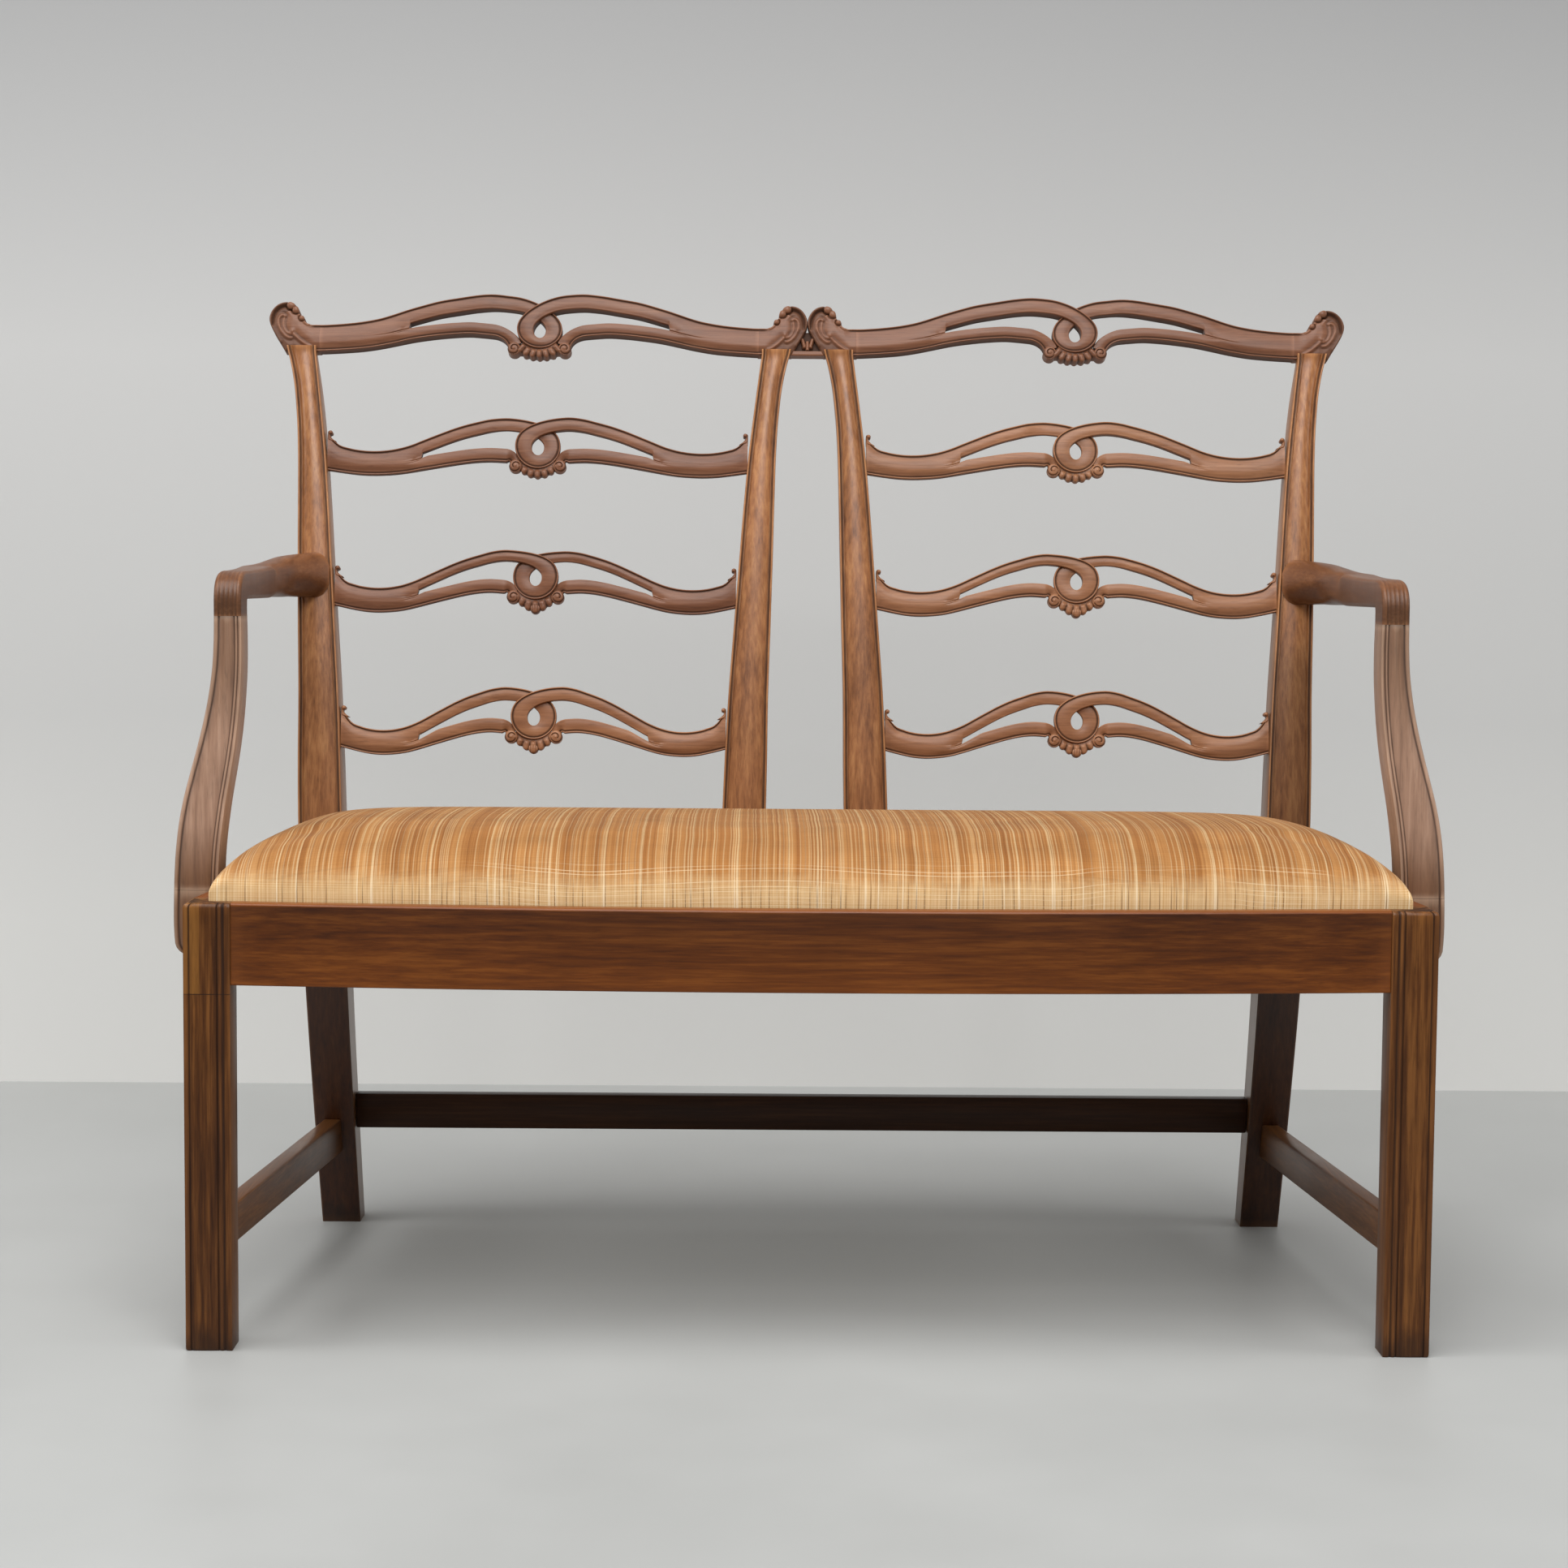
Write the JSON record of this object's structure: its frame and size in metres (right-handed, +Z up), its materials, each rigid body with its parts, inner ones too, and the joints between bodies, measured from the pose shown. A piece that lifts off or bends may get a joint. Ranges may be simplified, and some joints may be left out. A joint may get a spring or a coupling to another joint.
{
  "type": "double chair-back settee",
  "caption": "Open wooden settee with two pierced ladder chair backs, scrolled arms, square legs joined by stretchers and a striped drop-in seat.",
  "frame": {"origin": "centre of the footprint's bounding box, on the floor", "axes": "+X along the length, towards the right-hand chair back in a front view; +Y from the front towards the back; +Z up"},
  "size_m": [1.1894, 0.6327, 1.0039],
  "materials": {
    "back_wood": "polished, worn on the high parts, dark in the carving",
    "rail_wood": "polished",
    "leg_wood": "polished, worn at the feet",
    "secondary_wood": "unfinished",
    "screw_steel": "dull",
    "jute_webbing": "coarse weave",
    "hessian": "open weave",
    "padding": "felted fibre",
    "striped_cover": "striped cut pile"
  },
  "bodies": {
    "frame": {"arm_rest_left": "back_wood", "arm_rest_right": "back_wood", "arm_rest_screw_left": "screw_steel", "arm_rest_screw_right": "screw_steel", "arm_support_left": "back_wood", "arm_support_right": "back_wood", "arm_support_screw_left_1": "screw_steel", "arm_support_screw_left_2": "screw_steel", "arm_support_screw_right_1": "screw_steel", "arm_support_screw_right_2": "screw_steel", "back_slat_left_lower": "back_wood", "back_slat_left_middle": "back_wood", "back_slat_left_upper": "back_wood", "back_slat_right_lower": "back_wood", "back_slat_right_middle": "back_wood", "back_slat_right_upper": "back_wood", "block_screw_front_left_1": "screw_steel", "block_screw_front_left_2": "screw_steel", "block_screw_front_right_1": "screw_steel", "block_screw_front_right_2": "screw_steel", "block_screw_rear_left_1": "screw_steel", "block_screw_rear_left_2": "screw_steel", "block_screw_rear_right_1": "screw_steel", "block_screw_rear_right_2": "screw_steel", "centre_seat_brace": "secondary_wood", "corner_block_front_left": "secondary_wood", "corner_block_front_right": "secondary_wood", "corner_block_rear_left": "secondary_wood", "corner_block_rear_right": "secondary_wood", "crest_link": "back_wood", "crest_rail_left": "back_wood", "crest_rail_right": "back_wood", "front_leg_left": "leg_wood", "front_leg_right": "leg_wood", "front_seat_rail": "rail_wood", "inner_stile_left": "back_wood", "inner_stile_right": "back_wood", "rear_post_left": "back_wood", "rear_post_right": "back_wood", "rear_seat_rail": "rail_wood", "rear_stretcher": "leg_wood", "side_seat_rail_left": "rail_wood", "side_seat_rail_right": "rail_wood", "side_stretcher_left": "leg_wood", "side_stretcher_right": "leg_wood"},
    "drop_in_seat": {"seat_cover": "striped_cover", "seat_frame_centre": "secondary_wood", "seat_frame_front": "secondary_wood", "seat_frame_left": "secondary_wood", "seat_frame_rear": "secondary_wood", "seat_frame_right": "secondary_wood", "seat_hessian": "hessian", "seat_padding": "padding", "seat_webbing": "jute_webbing"}
  },
  "joints": [
    {"name": "seat_lift", "type": "slide", "parent": "frame", "child": "drop_in_seat", "axis": [0, 0, 1], "range_m": [0, 0.05]}
  ]
}
